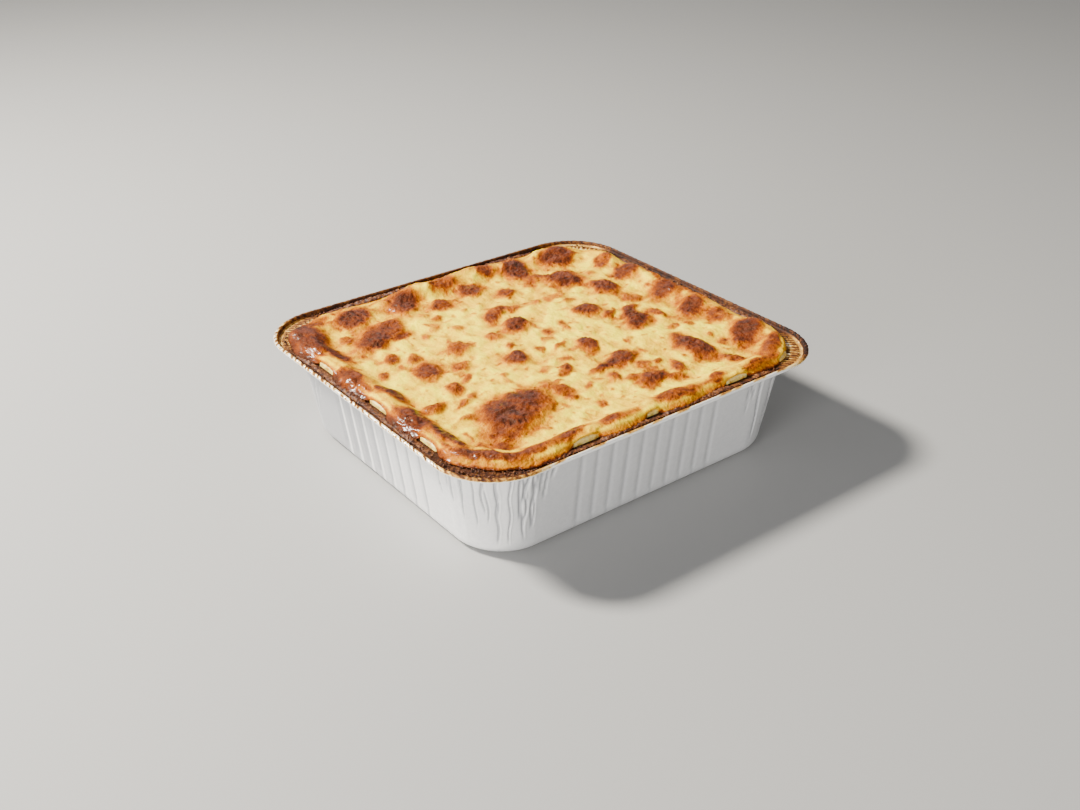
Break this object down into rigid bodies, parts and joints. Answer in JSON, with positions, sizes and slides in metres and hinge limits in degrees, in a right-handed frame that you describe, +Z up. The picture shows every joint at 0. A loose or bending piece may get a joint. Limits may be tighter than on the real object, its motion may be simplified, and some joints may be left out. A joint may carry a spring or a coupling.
{
  "type": "foil tray meal",
  "caption": "Near-square foil tray of baked pasta with a browned, bubbly cheese crust that rises in a wavy edge above the rolled rim.",
  "frame": {"origin": "middle of the tray's flat underside, on the surface it stands on", "axes": "+Z up, +X along the longer side of the rim, +Y along the shorter side"},
  "size_m": [0.198, 0.1814, 0.0527],
  "materials": {
    "foil": "satin aluminium foil, stained brown on the ledge",
    "pasta": "creamy cooked pasta and white sauce",
    "cheese": "melted yellow cheese with browned blisters",
    "burnt_sauce": "dark, rough baked-on sauce"
  },
  "bodies": {
    "root": {"foil_tray": "foil", "tray_rim": "foil", "pasta_filling": "pasta", "cheese_crust": "cheese", "burnt_sauce_front": "burnt_sauce", "burnt_sauce_right": "burnt_sauce", "burnt_sauce_back": "burnt_sauce", "burnt_sauce_left": "burnt_sauce"}
  },
  "joints": []
}
